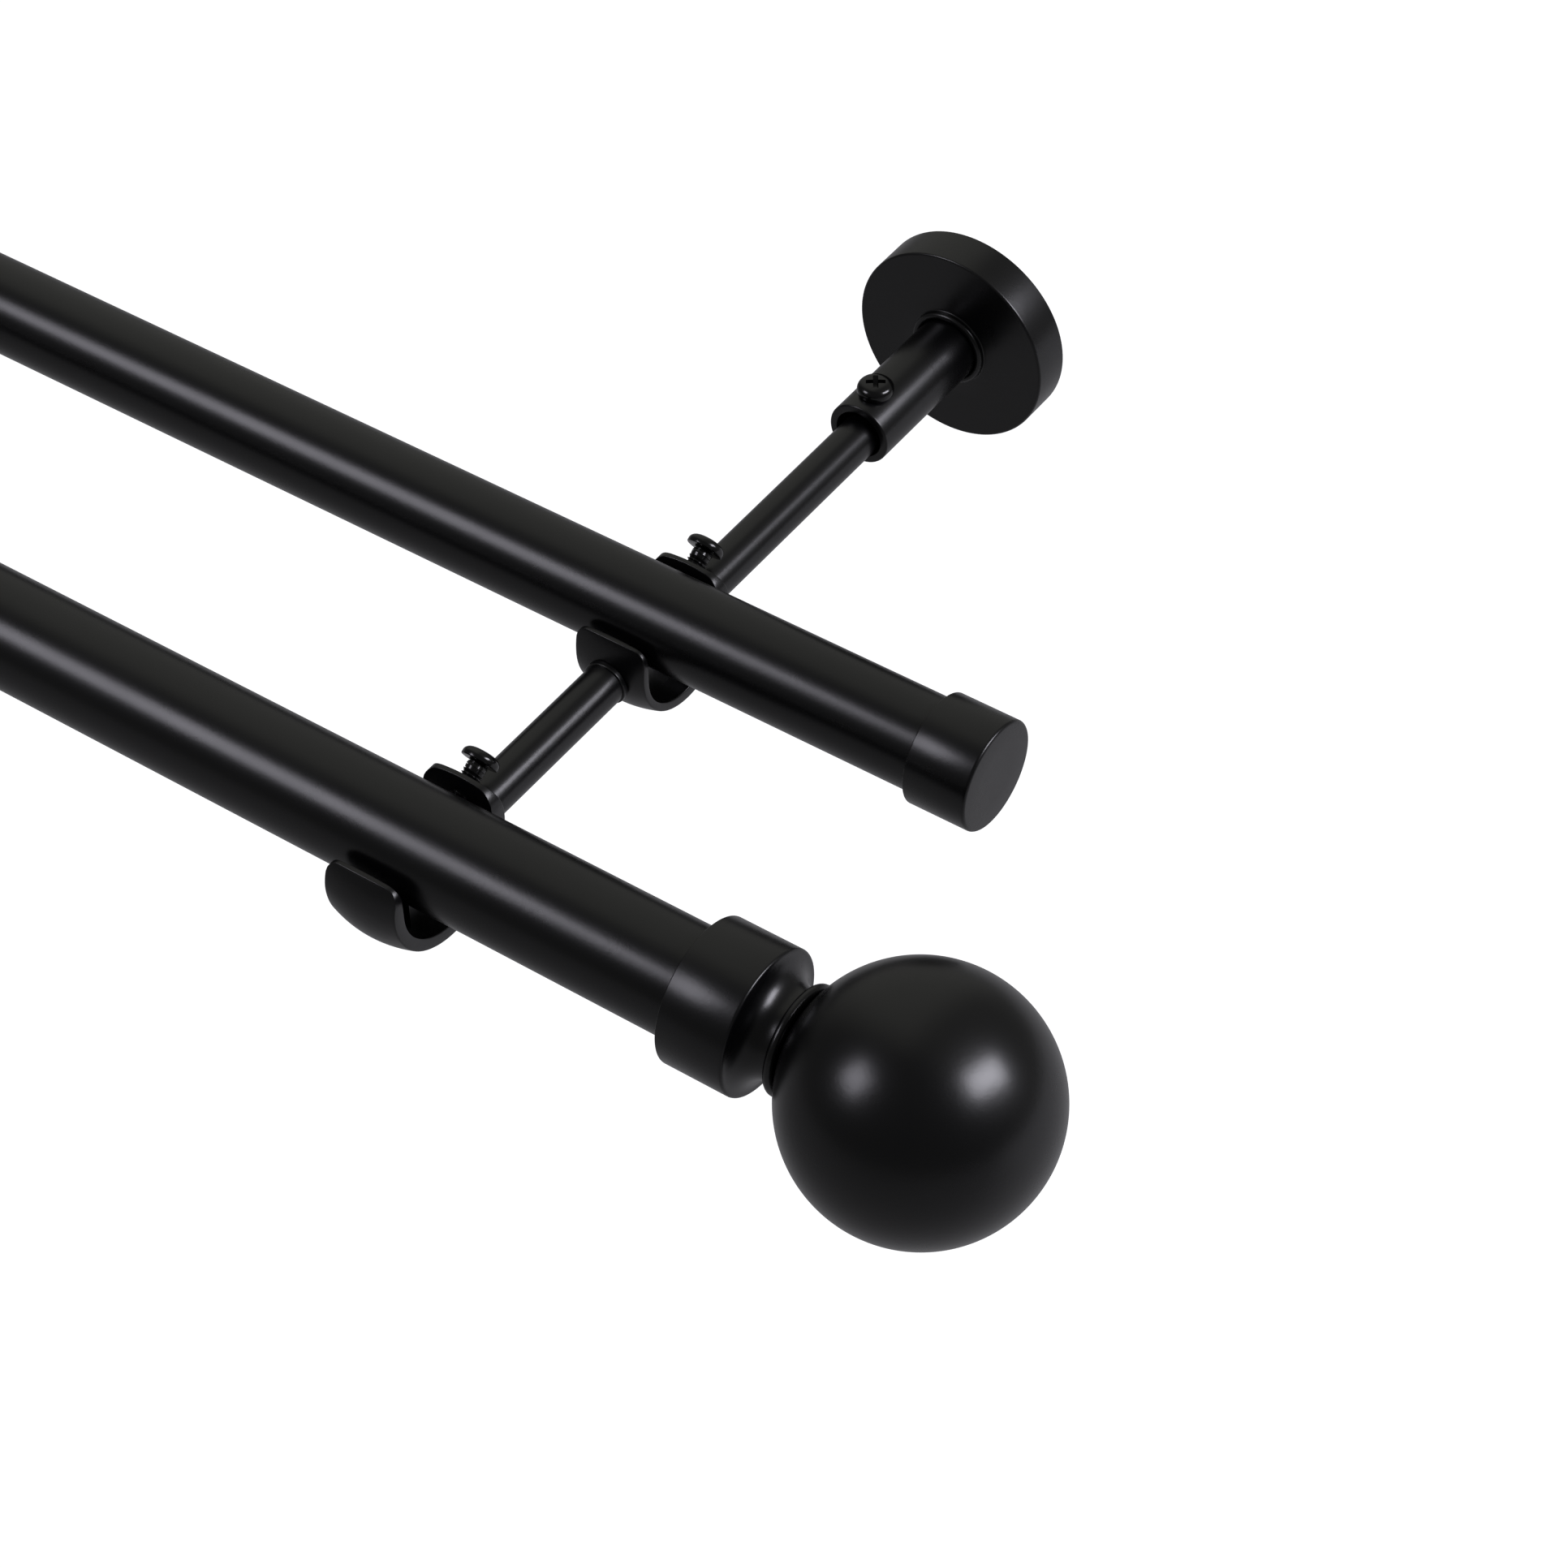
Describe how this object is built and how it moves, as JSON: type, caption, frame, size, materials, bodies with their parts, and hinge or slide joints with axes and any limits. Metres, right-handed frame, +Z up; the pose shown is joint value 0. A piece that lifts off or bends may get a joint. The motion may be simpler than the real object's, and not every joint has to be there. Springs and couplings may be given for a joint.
{
  "type": "double_curtain_pole",
  "caption": "Double curtain pole with a thicker front pole with ball finials and a thinner capped rear pole on adjustable wall brackets.",
  "frame": {"origin": "On the wall plane, midway between the two brackets, at the height of the wall sockets' axes.", "axes": "+Z up, +Y into the wall (the poles stand off towards -Y), +X along the poles to the right seen from the room."},
  "size_m": [0.7126, 0.2452, 0.0624],
  "materials": {
    "satin_black": "satin black powder coat on tube and turned parts",
    "cast_black": "satin black coat on cast cups, faintly uneven",
    "screw_black": "blackened screws, a little glossier than the coat",
    "plated_steel": "zinc plated steel, hidden in use"
  },
  "bodies": {
    "wall_brackets": {"wall_plate_left": "plated_steel", "wall_plate_right": "plated_steel", "plate_bolt_left": "plated_steel", "plate_bolt_right": "plated_steel", "cover_rosette_left": "satin_black", "cover_rosette_right": "satin_black", "wall_socket_left": "satin_black", "wall_socket_right": "satin_black", "socket_screw_left": "screw_black", "socket_screw_right": "screw_black"},
    "poles": {"front_pole": "satin_black", "rear_pole": "satin_black", "rear_arm_left": "satin_black", "rear_arm_right": "satin_black", "front_arm_left": "satin_black", "front_arm_right": "satin_black", "rear_cup_left": "cast_black", "rear_cup_right": "cast_black", "front_cup_left": "cast_black", "front_cup_right": "cast_black", "rear_cup_screw_left": "screw_black", "rear_cup_screw_right": "screw_black", "front_cup_screw_left": "screw_black", "front_cup_screw_right": "screw_black", "rear_cap_left": "satin_black", "rear_cap_right": "satin_black", "finial_base_left": "satin_black", "finial_base_right": "satin_black", "finial_ball_left": "satin_black", "finial_ball_right": "satin_black", "finial_stud_left": "plated_steel", "finial_stud_right": "plated_steel"}
  },
  "joints": [
    {"name": "projection", "type": "slide", "parent": "wall_brackets", "child": "poles", "axis": [0, -1, 0], "range_m": [-0.008, 0.016]}
  ]
}
